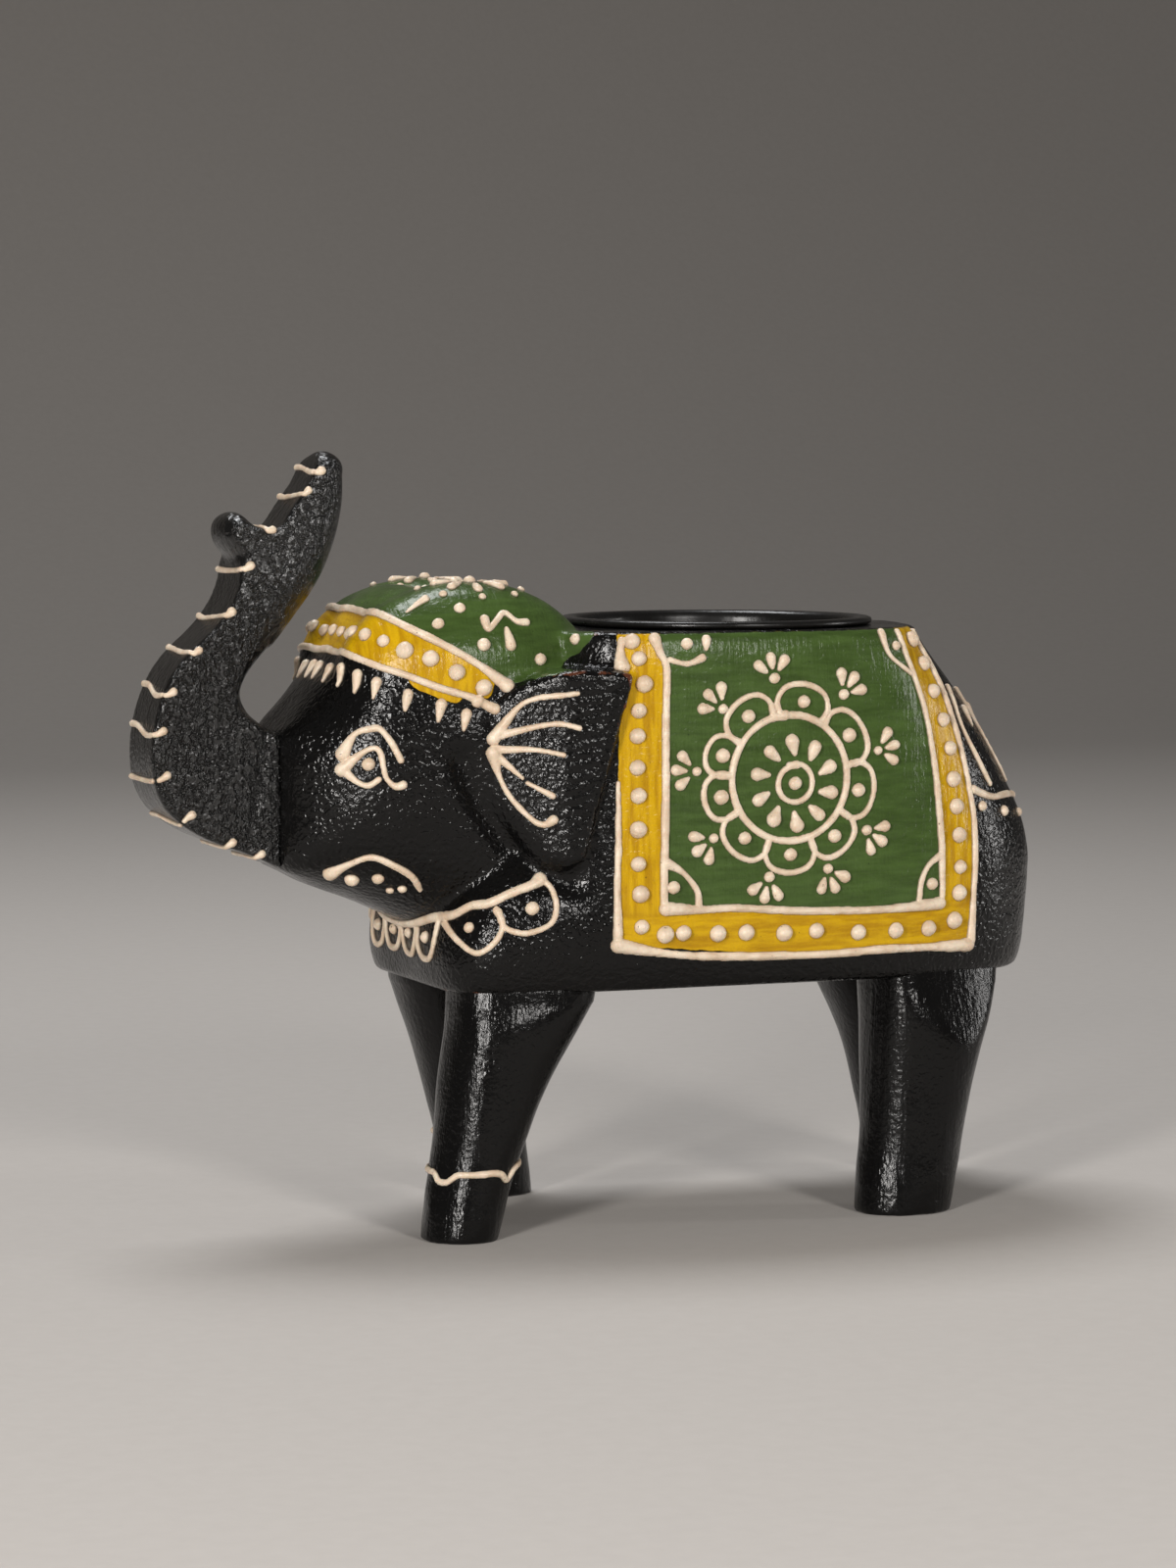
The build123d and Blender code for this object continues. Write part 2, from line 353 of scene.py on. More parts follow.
def shape_trunk(mesh):
    points = points_of(mesh)
    reach = np.interp(points[:, 2], [73, 77, 82, 90, 104, 112], [1.2, 2.0, 3.6, 5.0, 4.6, 3.4])
    points = round_off(points, TRUNK_REAR, reach)
    points = round_off(points, FINGER_FRONT, np.full(len(points), 1.8))
    away = path_distance(points[:, 0], points[:, 2], GLUE_GROOVE)
    groove = 0.4 * np.exp(-(away / 0.45) ** 2) * (np.abs(points[:, 1]) > 5)
    points[:, 1] -= np.sign(points[:, 1]) * groove
    set_points(mesh, points)
    relax(mesh, 2)


shape_trunk(trunk.data)
facets(trunk.data, 0.12, 2)
print("trunk rounded; it is now", [round(d / MM, 1) for d in trunk.dimensions], "mm")

# %% [markdown]
# **Where the paint goes.** The painter filled a saddle cloth on each flank, a cap on the crown and a
# band across the forehead. An image could hold that, but none is used here. Instead each point of the
# mesh carries its distance in millimetres from the edge of each painted patch, positive inside. The
# material turns a distance into a crisp edge finer than the mesh, and can make it wander like a brush.
# The patches' corners are measured places too, printed by the same program as the border's below.

# %% Paint distances
CLOTH_OUTER = [(-4.6, 86.1), (-5.0, 65.0), (-5.4, 41.9), (19.0, 39.6), (51.9, 39.5), (52.3, 54.0),
               (52.1, 60.0), (50.8, 68.0), (48.4, 76.5), (44.6, 86.1)]
CLOTH_INNER = [(1.2, 86.1), (2.0, 80.0), (1.8, 62.0), (1.6, 46.9), (24.0, 45.9), (46.4, 45.7),
               (46.3, 53.5), (45.6, 64.0), (44.2, 73.2), (42.4, 79.2), (40.2, 86.1)]
BAND = [(-46.0, 95.0), (-36.4, 89.0), (-30.9, 85.8), (-26.4, 83.2), (-21.6, 80.0), (-22.6, 77.2),
        (-25.5, 77.4), (-29.7, 78.7), (-34.3, 80.5), (-37.7, 81.8), (-42.0, 83.6), (-50.0, 86.8)]
CAP = [(-46.0, 95.0), (-36.4, 89.0), (-30.9, 85.8), (-26.4, 83.2), (-20.1, 78.9), (-16.2, 80.1),
       (-11.3, 81.3), (-9.0, 83.4), (-7.6, 85.6), (-5.6, 88.0), (-10.0, 100.0), (-40.0, 100.0)]
SPILL = [(-34.6, 81.0), (-33.6, 78.9), (-30.0, 77.2), (-27.0, 76.4), (-26.4, 78.0), (-30.0, 80.0)]


def patch_distance(x, z, outline):
    """Signed distance from an outline in the side view, positive inside."""
    closed = outline + outline[:1]
    inside = np.zeros(len(x), bool)
    for (ax, az), (bx, bz) in zip(closed, closed[1:]):
        if az != bz:
            crosses = (az > z) != (bz > z)
            inside ^= crosses & (x < (bx - ax) * (z - az) / (bz - az) + ax)
    return np.where(inside, 1, -1) * path_distance(x, z, closed)


def store(mesh, name, values):
    layer = mesh.attributes.new(name, "FLOAT", "POINT")
    layer.data.foreach_set("value", values.astype(np.float32))


CUP_AXIS_X = 20.2


def paint_distances(mesh):
    x, y, z = points_of(mesh).T
    outside_cup = np.hypot(x - CUP_AXIS_X, y) - 22.2
    off_the_ear = np.where(x < -2.5, 26.3 - np.abs(y), 9.0)
    flank = np.minimum(outside_cup, off_the_ear)
    store(mesh, "cloth", np.minimum(patch_distance(x, z, CLOTH_OUTER), flank))
    store(mesh, "field", np.minimum(patch_distance(x, z, CLOTH_INNER), flank))
    spill = np.where(y < 0, patch_distance(x, z, SPILL), -9.0)
    store(mesh, "band", np.maximum(patch_distance(x, z, BAND), spill))
    store(mesh, "cap", patch_distance(x, z, CAP))


paint_distances(body.data)
print("paint attributes:", [a.name for a in body.data.attributes if a.domain == "POINT"][:8])

# %% [markdown]
# **Wear and texture zones.** Lacquer goes thin on sharp arrises and at the glued joints, where reddish
# wood shows. A convex edge is a place where a point stands above the mean of its neighbours, so that
# difference, smoothed a little, is a good map of wear. The same trick of a number per point marks
# the ear's ribbed rear facet and the trunk's rough sawn sides.

# %% Wear and zones
def convexity(mesh):
    """How far each point stands above its surroundings, smoothed, in mm."""
    points, edges, normals = points_of(mesh), edges_of(mesh), normals_of(mesh)
    wide = points
    for _ in range(4):
        wide = neighbour_mean(wide, edges)
    rise = ((points - wide) * normals).sum(1, keepdims=True)
    return neighbour_mean(rise, edges)[:, 0]


EAR_REAR_FACET = [(-12.2, 79.8), (-5.6, 79.4), (-7.4, 72.5), (-10.2, 63.5), (-12.4, 57.0), (-14.0, 57.5),
                  (-13.2, 66.0)]


def mark_zones(mesh):
    x, y, z = points_of(mesh).T
    ear = np.minimum(patch_distance(x, z, EAR_REAR_FACET), np.abs(y) - 24.6)
    store(mesh, "ribs", np.clip(ear + 0.5, 0, 1))
    store(mesh, "sawn", np.clip(np.abs(normals_of(mesh)[:, 1]) * 2.5 - 1.2, 0, 1))
    store(mesh, "wear", convexity(mesh))


for piece in (body, trunk, *legs.values()):
    mark_zones(piece.data)
print("wear on the body runs to", round(float(convexity(body.data).max()), 2), "mm")

# %% [markdown]
# **Building a finish.** A material is a small machine of nodes. To keep each recipe readable, a helper
# class holds the node tree and has one short method for each thing a finish needs: noise stretched
# along the grain, a soft step, a mix of two colours. Everything reads Object coordinates or the
# mesh's own attributes, so the finish stays put whichever way the figure is turned.

# %% Finish helper
class Finish:
    """One material, with methods that add nodes and return their output sockets."""

    def __init__(self, name):
        self.material = bpy.data.materials.new(name)
        self.material.use_nodes = True
        self.tree = self.material.node_tree
        self.shader = self.tree.nodes["Principled BSDF"]
        self.place = self.add("ShaderNodeTexCoord").outputs["Object"]

    def add(self, kind, **settings):
        node = self.tree.nodes.new(kind)
        for key, value in settings.items():
            setattr(node, key, value)
        return node

    def feed(self, socket, value):
        if isinstance(value, bpy.types.NodeSocket):
            self.tree.links.new(value, socket)
        else:
            socket.default_value = value

    def sum(self, operation, *values):
        node = self.add("ShaderNodeMath", operation=operation)
        for socket, value in zip(node.inputs, values):
            self.feed(socket, value)
        return node.outputs[0]

    def step(self, value, low, high):
        """0 below low, 1 above high, smooth between."""
        node = self.add("ShaderNodeMapRange", interpolation_type="SMOOTHSTEP")
        for socket, item in (("Value", value), ("From Min", low), ("From Max", high)):
            self.feed(node.inputs[socket], item)
        return node.outputs["Result"]

    def mix(self, amount, first, second):
        node = self.add("ShaderNodeMix", data_type="RGBA")
        for socket, value in ((node.inputs[0], amount), (node.inputs[6], first), (node.inputs[7], second)):
            self.feed(socket, value)
        return node.outputs[2]

    def stretched(self, x, y, z):
        """Object coordinates in units of the given sizes, in mm."""
        node = self.add("ShaderNodeMapping")
        self.feed(node.inputs["Vector"], self.place)
        node.inputs["Scale"].default_value = (1 / (x * MM), 1 / (y * MM), 1 / (z * MM))
        return node.outputs["Vector"]

    def grain(self, sizes, detail=2.0, roughness=0.5):
        """Noise from 0 to 1, its bumps about sizes mm long each way."""
        node = self.add("ShaderNodeTexNoise")
        self.feed(node.inputs["Vector"], self.stretched(*sizes))
        node.inputs["Scale"].default_value = 1.0
        node.inputs["Detail"].default_value = detail
        node.inputs["Roughness"].default_value = roughness
        return node.outputs["Fac"]

    def layer(self, name):
        return self.add("ShaderNodeAttribute", attribute_name=name).outputs["Fac"]

    def axis(self, which):
        """One Object coordinate in millimetres."""
        node = self.add("ShaderNodeSeparateXYZ")
        self.feed(node.inputs[0], self.place)
        return self.sum("MULTIPLY", node.outputs[which], 1 / MM)

    def varnish(self, roughness, level=0.35):
        """A varnish's gloss: roughness may vary over the surface, and the level is how strong it mirrors."""
        self.feed(self.shader.inputs["Roughness"], roughness)
        self.shader.inputs["Specular IOR Level"].default_value = level

    def relief(self, height):
        """Makes a height in mm into the surface's bump."""
        node = self.add("ShaderNodeBump")
        node.inputs["Distance"].default_value = MM
        self.feed(node.inputs["Height"], height)
        self.feed(self.shader.inputs["Normal"], node.outputs["Normal"])


print("finish helper ready")

# %% [markdown]
# **Black lacquer.** Brushed lacquer on close-grained wood is almost a mirror, yet no two millimetres
# are level: dust and dried brush drag give it a stipple half a millimetre across. The recipe is a
# black base, low roughness and three heights added up: stipple, grain streaks and pits. Each part
# gets its own balance of them, because the trunk's sawn sides are rough and the legs are streaky.

# %% Black lacquer
BLACK = (0.0035, 0.0033, 0.0032, 1)
BARE_BROWN = (0.085, 0.028, 0.014, 1)


def lacquer_height(finish, stipple, streak_sizes, streak):
    fine = finish.grain((0.45, 0.45, 0.45), 2.0, 0.6)
    drops = finish.step(finish.grain((0.8, 0.8, 0.8), 1.0, 0.5), 0.38, 0.66)
    streaks = finish.grain(streak_sizes, 3.0, 0.6)
    height = finish.sum("MULTIPLY", drops, stipple)
    height = finish.sum("MULTIPLY_ADD", fine, 0.5 * stipple, height)
    return finish.sum("MULTIPLY_ADD", streaks, streak, height)


def wood_wear(finish, reach):
    """Where the lacquer has rubbed through: on arrises, broken up by noise."""
    broken = finish.sum("MULTIPLY_ADD", finish.grain((2.2, 2.2, 2.2), 4.0, 0.65), 0.9, -0.45)
    exposed = finish.sum("ADD", finish.sum("MULTIPLY", finish.layer("wear"), 4.0), broken)
    return finish.step(exposed, reach, reach + 0.12)


def plain_lacquer(name, stipple, streak_sizes, streak, wear_reach):
    """Lacquer with no paint on it, for the trunk and the legs."""
    finish = Finish(name)
    height = lacquer_height(finish, stipple, streak_sizes, streak)
    sawn = finish.layer("sawn")
    pits = finish.step(finish.grain((1.1, 0.9, 1.3), 3.0, 0.7), 0.38, 0.56)
    worn = wood_wear(finish, wear_reach)
    finish.feed(finish.shader.inputs["Base Color"], finish.mix(worn, BLACK, BARE_BROWN))
    return finish, height, sawn, pits


def trunk_lacquer():
    finish, height, sawn, pits = plain_lacquer("black lacquer, trunk", 0.05, (0.8, 0.8, 7.0), 0.20, 0.85)
    rough = finish.sum("MULTIPLY", finish.sum("MULTIPLY", pits, sawn), 0.38)
    finish.relief(finish.sum("ADD", height, rough))
    finish.varnish(finish.sum("MULTIPLY_ADD", sawn, 0.12, 0.18), 0.75)
    return finish.material


def leg_lacquer():
    finish, height, _, pits = plain_lacquer("black lacquer, legs", 0.022, (0.8, 0.8, 14.0), 0.10, 0.66)
    finish.relief(finish.sum("MULTIPLY_ADD", pits, 0.012, height))
    finish.varnish(finish.sum("MULTIPLY_ADD", finish.grain((2.0, 2.0, 9.0), 3.0), 0.22, 0.08), 0.25)
    return finish.material


trunk.data.materials.append(trunk_lacquer())
leg_finish = leg_lacquer()
for leg in legs.values():
    leg.data.materials.append(leg_finish)
print("lacquer recipes:", [m.name for m in bpy.data.materials if "lacquer" in m.name])

# %% [markdown]
# **Painted patches.** The green and the mustard are thick poster colours under varnish. Each has
# streaks that follow the brush, darker where it ran thin. The patches are layered in the order they
# were painted: mustard over the whole cloth, green in its middle, then the band and cap. Every layer
# also adds a few hundredths of a millimetre of height, so that its edge catches the light.

# %% Painted body finish
GREEN_DEEP, GREEN_LIGHT = (0.036, 0.064, 0.014, 1), (0.064, 0.112, 0.026, 1)
MUSTARD_DEEP, MUSTARD_LIGHT = (0.42, 0.22, 0.002, 1), (0.60, 0.36, 0.004, 1)


def patch(finish, layer, wander):
    """A painted patch's cover, from its distance layer and a wandering brush edge."""
    edge = finish.sum("MULTIPLY_ADD", finish.grain((1.6, 1.6, 1.6), 2.0), wander, -wander / 2)
    return finish.step(finish.sum("ADD", finish.layer(layer), edge), -0.06, 0.06)


def body_finish():
    finish = Finish("painted lacquer, body")
    sheet = finish.grain((7.0, 7.0, 1.0), 4.0, 0.6)
    upright = finish.grain((0.9, 7.0, 7.0), 4.0, 0.6)
    hem = finish.sum("SUBTRACT", 1.0, finish.step(finish.axis(2), 45.0, 47.0))
    cloth, field = patch(finish, "cloth", 0.35), patch(finish, "field", 0.3)
    band, cap = patch(finish, "band", 0.5), patch(finish, "cap", 0.5)
    yellow = finish.sum("MAXIMUM", finish.sum("SUBTRACT", cloth, field), band)
    green = finish.sum("MAXIMUM", field, cap)
    painted = finish.sum("MAXIMUM", yellow, green)
    along = finish.sum("MULTIPLY_ADD", finish.sum("SUBTRACT", sheet, upright), hem, upright)
    mustard = finish.mix(finish.step(along, 0.32, 0.66), MUSTARD_DEEP, MUSTARD_LIGHT)
    leaf = finish.mix(finish.step(sheet, 0.20, 0.80), GREEN_DEEP, GREEN_LIGHT)
    worn = wood_wear(finish, 0.86)
    colour = finish.mix(worn, BLACK, BARE_BROWN)
    colour = finish.mix(green, colour, leaf)
    colour = finish.mix(yellow, colour, mustard)
    specks = finish.step(finish.grain((0.7, 0.7, 0.7), 3.0, 0.6), 0.70, 0.76)
    colour = finish.mix(finish.sum("MULTIPLY", specks, 0.7), colour, BLACK)
    finish.feed(finish.shader.inputs["Base Color"], colour)
    bare = finish.sum("MULTIPLY_ADD", painted, -0.65, 1.0)
    height = finish.sum("MULTIPLY", lacquer_height(finish, 0.07, (8.0, 1.2, 1.2), 0.05), bare)
    brush = finish.sum("MULTIPLY", along, finish.sum("MULTIPLY", painted, 0.14))
    ribs = finish.sum("SINE", finish.sum("MULTIPLY_ADD", finish.axis(0), -0.9, finish.sum(
        "MULTIPLY_ADD", finish.axis(2), 4.2, finish.sum("MULTIPLY", finish.grain((3, 3, 3)), 6.0))))
    ribs = finish.sum("MULTIPLY", ribs, finish.sum("MULTIPLY", finish.layer("ribs"), 0.03))
    height = finish.sum("ADD", finish.sum("ADD", height, brush), ribs)
    finish.relief(finish.sum("MULTIPLY_ADD", painted, 0.08, height))
    gloss = finish.sum("MULTIPLY_ADD", finish.grain((5.0, 5.0, 2.0), 4.0), 0.22, 0.07)
    finish.varnish(finish.sum("MULTIPLY_ADD", painted, 0.06, gloss), 0.28)
    return finish.material


body.data.materials.append(body_finish())
print("body finish:", len(body.data.materials[0].node_tree.nodes), "nodes")

# %% [markdown]
# **Joints that close.** The tool marks move a glued face by a tenth of a millimetre or two, which
# could open a crack you can see through. The legs are therefore let into the block by 1.8 mm and the
# trunk by 0.4 mm, and the feet are planed level again so that the figure stands on the floor.

# %% Joints and feet
LEG_LET_IN, TRUNK_LET_IN = 1.8, 0.4


def let_in_leg(mesh):
    points = points_of(mesh)
    z = points[:, 2]
    points[:, 2] = np.maximum(z + LEG_LET_IN * np.clip((z - 33.4) / 0.8, 0, 1), 0.0)
    set_points(mesh, points)


def let_in_trunk(mesh):
    points = points_of(mesh)
    points[:, 0] += TRUNK_LET_IN * np.clip((points[:, 0] + 50.2) / 0.5, 0, 1)
    set_points(mesh, points)


for leg in legs.values():
    let_in_leg(leg.data)
let_in_trunk(trunk.data)
print("feet stand at", round(min(points_of(leg.data)[:, 2].min() for leg in legs.values()), 3), "mm")

# %% [markdown]
# **The tealight cup.** It is pressed from thin steel sheet and enamelled black: a flat floor with a
# rounded corner, a straight wall and a rim turned outwards. It is a body of revolution, so one closed
# profile turned about the cup's axis makes it. The profile's two ends lie on the axis, and merging the
# doubles there closes both poles.

# %% Cup
CUP_TOP = 87.5
CUP_PROFILE = [
    (0.0, 72.9), (18.4, 72.9), (19.8, 73.2), (20.6, 74.0), (20.85, 75.2), (20.85, 85.9), (21.1, 86.3),
    (21.6, 86.45), (22.6, 86.42), (23.1, 86.6), (23.2, 86.95), (23.05, 87.3), (22.6, 87.48),
    (21.6, 87.5), (20.8, 87.35), (20.4, 86.9), (20.25, 86.2), (20.25, 75.3), (20.0, 74.4), (19.4, 73.8),
    (18.3, 73.5), (16.4, 73.5), (16.0, 73.8), (15.4, 73.8), (15.0, 73.5), (0.0, 73.5),
]


def turned(name, profile, axis_x, steps):
    """A closed profile of (radius, height) pairs turned once round a vertical axis."""
    bm = bmesh.new()
    corners = [bm.verts.new(((axis_x + r) * MM, 0, z * MM)) for r, z in profile]
    sides = [bm.edges.new(pair) for pair in zip(corners, corners[1:])]
    bmesh.ops.spin(bm, geom=corners + sides, cent=(axis_x * MM, 0, 0), axis=(0, 0, 1),
                   angle=2 * math.pi, steps=steps)
    bmesh.ops.remove_doubles(bm, verts=bm.verts, dist=1e-6)
    bmesh.ops.recalc_face_normals(bm, faces=bm.faces)
    mesh = bpy.data.meshes.new(name)
    bm.to_mesh(mesh)
    bm.free()
    mesh.shade_smooth()
    return new_object(name, mesh)


def enamel():
    finish = Finish("black enamel, cup")
    finish.relief(finish.sum("MULTIPLY", finish.grain((1.4, 1.4, 1.4), 3.0), 0.05))
    finish.feed(finish.shader.inputs["Base Color"], (0.006, 0.0055, 0.005, 1))
    smudge = finish.grain((6.0, 6.0, 6.0), 4.0, 0.6)
    finish.varnish(finish.sum("MULTIPLY_ADD", smudge, 0.35, 0.12))
    return finish.material


cup = turned("tealight_cup_pressed", CUP_PROFILE, CUP_AXIS_X, 120)
cup.data.materials.append(enamel())
print("cup:", len(cup.data.polygons), "faces, rim at", CUP_TOP, "mm")

# %% [markdown]
# **Dowels.** Six plain beech pins hold the glued joints. They can't be seen, but they are there when
# the model is taken apart, so they get bare wood: pale, with rings along the pin.

# %% Dowel wood
def bare_wood():
    finish = Finish("bare wood, dowels")
    streak = finish.grain((0.8, 0.8, 6.0), 4.0, 0.6)
    colour = finish.mix(finish.step(streak, 0.3, 0.7), (0.42, 0.25, 0.12, 1), (0.62, 0.42, 0.24, 1))
    finish.feed(finish.shader.inputs["Base Color"], colour)
    finish.feed(finish.shader.inputs["Roughness"], finish.sum("MULTIPLY_ADD", streak, 0.2, 0.5))
    finish.relief(finish.sum("MULTIPLY", streak, 0.08))
    return finish.material


beech = bare_wood()
dowels = [node for name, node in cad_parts.items() if "dowel" in name]
for node in dowels:
    node.data.materials.clear()
    node.data.materials.append(beech)
print(len(dowels), "dowels in bare wood")

# %% [markdown]
# **Cream paste.** The pattern is piped on like icing: paste squeezed from a cone, in lines about a
# millimetre wide that start and end in a blob, and in domed dots. The pattern itself is a list of hand
# strokes. What turns strokes into paste follows one rule everywhere, so it is a Geometry Nodes tree:
# run a smooth curve through each stroke, lay the points on the skin, give each a bead of paste with an
# uneven size, and melt the beads into one surface. Melting through a volume gives the soft joins that
# paste has, which overlapping tubes would not. Inside the tree one unit is a millimetre.

# %% Paste tree
def paste_sockets(tree):
    sockets = (("Strokes", "Geometry"), ("Skin", "Object"), ("Step", "Float"), ("Voxel", "Float"),
               ("Unevenness", "Float"), ("Seed", "Float"), ("Paste", "Material"))
    for label, kind in sockets:
        tree.interface.new_socket(label, in_out="INPUT", socket_type="NodeSocket" + kind)
    tree.interface.new_socket("Relief", in_out="OUTPUT", socket_type="NodeSocketGeometry")


def paste_tree():
    tree = bpy.data.node_groups.new("squeezed paste", "GeometryNodeTree")
    paste_sockets(tree)
    make = tree.nodes.new
    join = tree.links.new
    inputs = make("NodeGroupInput").outputs
    curve = make("GeometryNodeMeshToCurve")
    smooth = make("GeometryNodeCurveSplineType")
    smooth.spline_type = "CATMULL_ROM"
    even = make("GeometryNodeResampleCurve")
    even.mode = "LENGTH"
    points = make("GeometryNodeCurveToPoints")
    points.mode = "EVALUATED"
    join(inputs["Strokes"], curve.inputs["Mesh"])
    join(curve.outputs["Curve"], smooth.inputs["Curve"])
    join(smooth.outputs["Curve"], even.inputs["Curve"])
    join(inputs["Step"], even.inputs["Length"])
    join(even.outputs["Curve"], points.inputs["Curve"])

    skin = make("GeometryNodeObjectInfo")
    grown = make("GeometryNodeTransform")
    grown.inputs["Scale"].default_value = (1 / MM, 1 / MM, 1 / MM)
    nearest = make("GeometryNodeProximity")
    laid = make("GeometryNodeSetPosition")
    join(inputs["Skin"], skin.inputs["Object"])
    join(skin.outputs["Geometry"], grown.inputs["Geometry"])
    join(grown.outputs["Geometry"], nearest.inputs["Geometry"])
    join(points.outputs["Points"], laid.inputs["Geometry"])
    join(nearest.outputs["Position"], laid.inputs["Position"])

    bead = make("GeometryNodeInputNamedAttribute")
    bead.inputs["Name"].default_value = "bead"
    lumps = make("ShaderNodeTexNoise")
    lumps.noise_dimensions = "4D"
    lumps.inputs["Scale"].default_value = 0.55
    offset = make("ShaderNodeMath")
    offset.operation = "SUBTRACT"
    offset.inputs[1].default_value = 0.5
    swell = make("ShaderNodeMath")
    swell.operation = "MULTIPLY_ADD"
    swell.inputs[2].default_value = 1.0
    size = make("ShaderNodeMath")
    size.operation = "MULTIPLY"
    join(inputs["Seed"], lumps.inputs["W"])
    join(lumps.outputs["Fac"], offset.inputs[0])
    join(offset.outputs[0], swell.inputs[0])
    join(inputs["Unevenness"], swell.inputs[1])
    join(bead.outputs["Attribute"], size.inputs[0])
    join(swell.outputs[0], size.inputs[1])

    melt = make("GeometryNodePointsToVolume")
    melt.resolution_mode = "VOXEL_SIZE"
    wrap = make("GeometryNodeVolumeToMesh")
    shrunk = make("GeometryNodeTransform")
    shrunk.inputs["Scale"].default_value = (MM, MM, MM)
    shade = make("GeometryNodeSetShadeSmooth")
    real = make("GeometryNodeRealizeInstances")
    coat = make("GeometryNodeSetMaterial")
    join(laid.outputs["Geometry"], melt.inputs["Points"])
    join(inputs["Voxel"], melt.inputs["Voxel Size"])
    join(size.outputs[0], melt.inputs["Radius"])
    join(melt.outputs["Volume"], wrap.inputs["Volume"])

    height = make("GeometryNodeProximity")
    note = make("GeometryNodeStoreNamedAttribute")
    note.inputs["Name"].default_value = "rise"
    join(grown.outputs["Geometry"], height.inputs["Geometry"])
    join(wrap.outputs["Mesh"], note.inputs["Geometry"])
    join(height.outputs["Distance"], note.inputs["Value"])
    join(note.outputs["Geometry"], shrunk.inputs["Geometry"])
    join(shrunk.outputs["Geometry"], shade.inputs["Geometry"])
    join(shade.outputs["Geometry"], real.inputs["Geometry"])
    join(real.outputs["Geometry"], coat.inputs["Geometry"])
    join(inputs["Paste"], coat.inputs["Material"])
    join(coat.outputs["Geometry"], make("NodeGroupOutput").inputs["Relief"])
    return tree


PASTE_TREE = paste_tree()
PASTE_INPUT = {item.name: item.identifier for item in PASTE_TREE.interface.items_tree
               if item.in_out == "INPUT"}
print("paste tree:", len(PASTE_TREE.nodes), "nodes")

# %% [markdown]
# ** The paste's colour.** The paste dries to a warm cream with a soft shine. Dust and a few dark
# specks sit in it, and painted shade darkens it at its foot, where it meets the lacquer.

# %% Paste finish
def cream_paste():
    finish = Finish("cream paste")
    warm = finish.mix(finish.step(finish.grain((2.5, 2.5, 2.5), 3.0), 0.3, 0.7),
                      (0.64, 0.49, 0.35, 1), (0.80, 0.67, 0.52, 1))
    specks = finish.step(finish.grain((0.55, 0.55, 0.55), 2.0, 0.6), 0.70, 0.75)
    # Painted shade: the paste is darkened where it rises less than about 0.3 mm above the skin, at its foot.
    # The specks are its own dark grit.
    foot = finish.sum("SUBTRACT", 1.0, finish.step(finish.layer("rise"), 0.04, 0.30))
    specks_and_foot_shade = finish.sum("MAXIMUM", finish.sum("MULTIPLY", specks, 0.75), finish.sum("MULTIPLY", foot, 0.7))
    finish.feed(finish.shader.inputs["Base Color"], finish.mix(specks_and_foot_shade, warm, (0.07, 0.045, 0.03, 1)))
    finish.relief(finish.sum("MULTIPLY", finish.grain((0.8, 0.8, 0.8), 3.0, 0.6), 0.10))
    finish.shader.inputs["Roughness"].default_value = 0.38
    finish.shader.inputs["Subsurface Weight"].default_value = 0.08
    finish.shader.inputs["Subsurface Scale"].default_value = 0.4 * MM
    return finish.material


PASTE = cream_paste()
print("finish:", PASTE.name)

# %% [markdown]
# **A hand for the strokes.** The pattern is drawn once, for the figure's left side, and mirrored for its
# right. A stroke's corner is given either as (x, z), and then it drops straight in from the side
# onto the skin, or as (x, y, z), and then it goes to the nearest skin. A seeded wobble keeps the two
# sides from being exact mirror images, as no two sides painted by hand are.

# %% Piping
class Piping:
    """Strokes of paste for one side of one carved piece; side is -1 for the left and 1 for the right."""

    def __init__(self, name, skin, side, seed):
        self.name, self.skin, self.side, self.seed = name, skin, side, seed
        self.surface = BVHTree.FromObject(skin, bpy.context.evaluated_depsgraph_get())
        self.hand = random.Random(seed)
        self.wobble = 0.0 if side < 0 else 0.25
        self.points, self.beads, self.links = [], [], []

    def on_skin(self, corner):
        jitter = [self.hand.uniform(-1, 1) * self.wobble for _ in corner]
        corner = [a + b for a, b in zip(corner, jitter)]
        if len(corner) == 2:
            start = Vector((corner[0], 60 * self.side, corner[1])) * MM
            found = self.surface.ray_cast(start, Vector((0, -self.side, 0)))[0]
            if found is not None:
                return tuple(found / MM)
            corner = [corner[0], -25, corner[1]]
        x, y, z = corner
        return tuple(self.surface.find_nearest(Vector((x, -y * self.side, z)) * MM)[0] / MM)

    def stroke(self, corners, beads):
        first = len(self.points)
        for corner, bead in zip(corners, beads):
            self.points.append(self.on_skin(corner))
            self.beads.append(bead * self.hand.uniform(0.93, 1.07))
        self.links += [(i, i + 1) for i in range(first, len(self.points) - 1)]

    def line(self, corners, bead=0.55, start=1.0, end=1.0):
        """A line of even width whose ends may swell into blobs."""
        beads = [bead] * len(corners)
        beads[0] *= start
        beads[-1] *= end
        self.stroke(corners, beads)

    def dot(self, corner, bead=1.1):
        x, y, z = self.on_skin(corner)
        first = len(self.points)
        self.points += [(x, y, z), (x + 0.12, y, z + 0.05)]
        self.beads += [bead * self.hand.uniform(0.9, 1.08)] * 2
        self.links.append((first, first + 1))

    def drop(self, head, tip, bead=0.85):
        """A teardrop, full at its head and drawn out to its tip."""
        middle = [(a + b) / 2 for a, b in zip(head, tip)]
        self.stroke([head, middle, tip], [bead, bead * 0.75, bead * 0.4])


